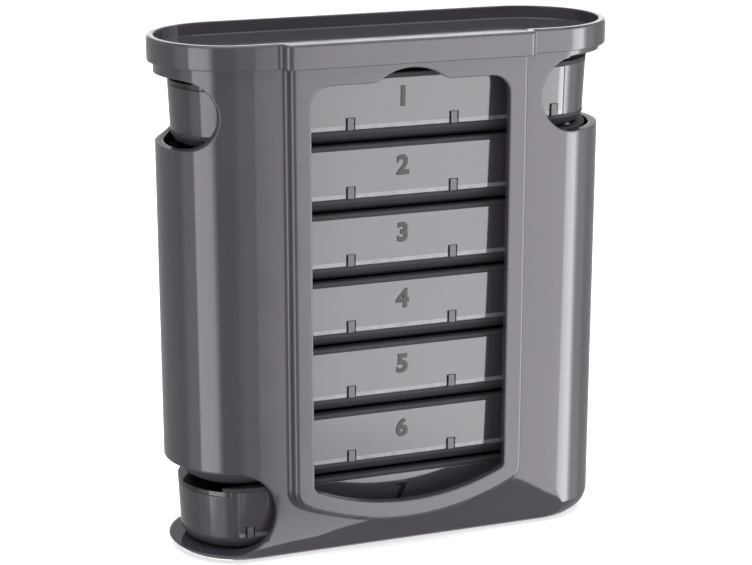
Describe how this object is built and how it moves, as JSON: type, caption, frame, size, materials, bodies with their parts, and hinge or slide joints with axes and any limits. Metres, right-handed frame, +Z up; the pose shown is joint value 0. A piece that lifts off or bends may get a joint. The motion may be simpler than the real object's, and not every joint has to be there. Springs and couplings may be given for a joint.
{
  "type": "weekly pill drawer tower",
  "caption": "Upright pill tower with rounded ends: windowed housing, tray-topped lift-off cap and a stack of four-compartment day boxes, the lowest pulled out sideways.",
  "frame": {"origin": "middle of the flat underside of the housing's plan, on the surface it stands on", "axes": "+Z up, +X to the right along the long side, front with the window towards -Y; the bottom box leaves towards -X"},
  "size_m": [0.1318, 0.0489, 0.1461],
  "materials": {
    "housing_plastic": "glossy anthracite moulded plastic",
    "tray_plastic": "glossy anthracite moulded plastic",
    "front_plastic": "glossy light grey plastic with grey numerals",
    "lid_plastic": "clear smoky plastic"
  },
  "bodies": {
    "tower": {"housing": "housing_plastic"},
    "box_7": {"day_7_tray": "tray_plastic", "day_7_front": "front_plastic"},
    "box_7_lid": {"day_7_lid": "lid_plastic"},
    "box_6": {"day_6_tray": "tray_plastic", "day_6_front": "front_plastic", "day_6_lid": "lid_plastic"},
    "box_5": {"day_5_tray": "tray_plastic", "day_5_front": "front_plastic", "day_5_lid": "lid_plastic"},
    "box_4": {"day_4_tray": "tray_plastic", "day_4_front": "front_plastic", "day_4_lid": "lid_plastic"},
    "box_3": {"day_3_tray": "tray_plastic", "day_3_front": "front_plastic", "day_3_lid": "lid_plastic"},
    "box_2": {"day_2_tray": "tray_plastic", "day_2_front": "front_plastic", "day_2_lid": "lid_plastic"},
    "box_1": {"day_1_tray": "tray_plastic", "day_1_front": "front_plastic", "day_1_lid": "lid_plastic"},
    "top_cap": {"cap": "housing_plastic"}
  },
  "joints": [
    {"name": "day_7_pull_out", "type": "slide", "parent": "tower", "child": "box_7", "axis": [-1, 0, 0], "range_m": [0, 0.125]},
    {"name": "day_7_lid_slide", "type": "slide", "parent": "box_7", "child": "box_7_lid", "axis": [-1, 0, 0], "range_m": [0, 0.112]},
    {"name": "day_6_lift", "type": "slide", "parent": "tower", "child": "box_6", "axis": [0, 0, 1], "range_m": [0, 0.12]},
    {"name": "day_5_lift", "type": "slide", "parent": "box_6", "child": "box_5", "axis": [0, 0, 1], "range_m": [0, 0.101]},
    {"name": "day_4_lift", "type": "slide", "parent": "box_5", "child": "box_4", "axis": [0, 0, 1], "range_m": [0, 0.082]},
    {"name": "day_3_lift", "type": "slide", "parent": "box_4", "child": "box_3", "axis": [0, 0, 1], "range_m": [0, 0.063]},
    {"name": "day_2_lift", "type": "slide", "parent": "box_3", "child": "box_2", "axis": [0, 0, 1], "range_m": [0, 0.044]},
    {"name": "day_1_lift", "type": "slide", "parent": "box_2", "child": "box_1", "axis": [0, 0, 1], "range_m": [0, 0.025]},
    {"name": "cap_lift", "type": "slide", "parent": "box_1", "child": "top_cap", "axis": [0, 0, 1], "range_m": [0, 0.03]}
  ]
}
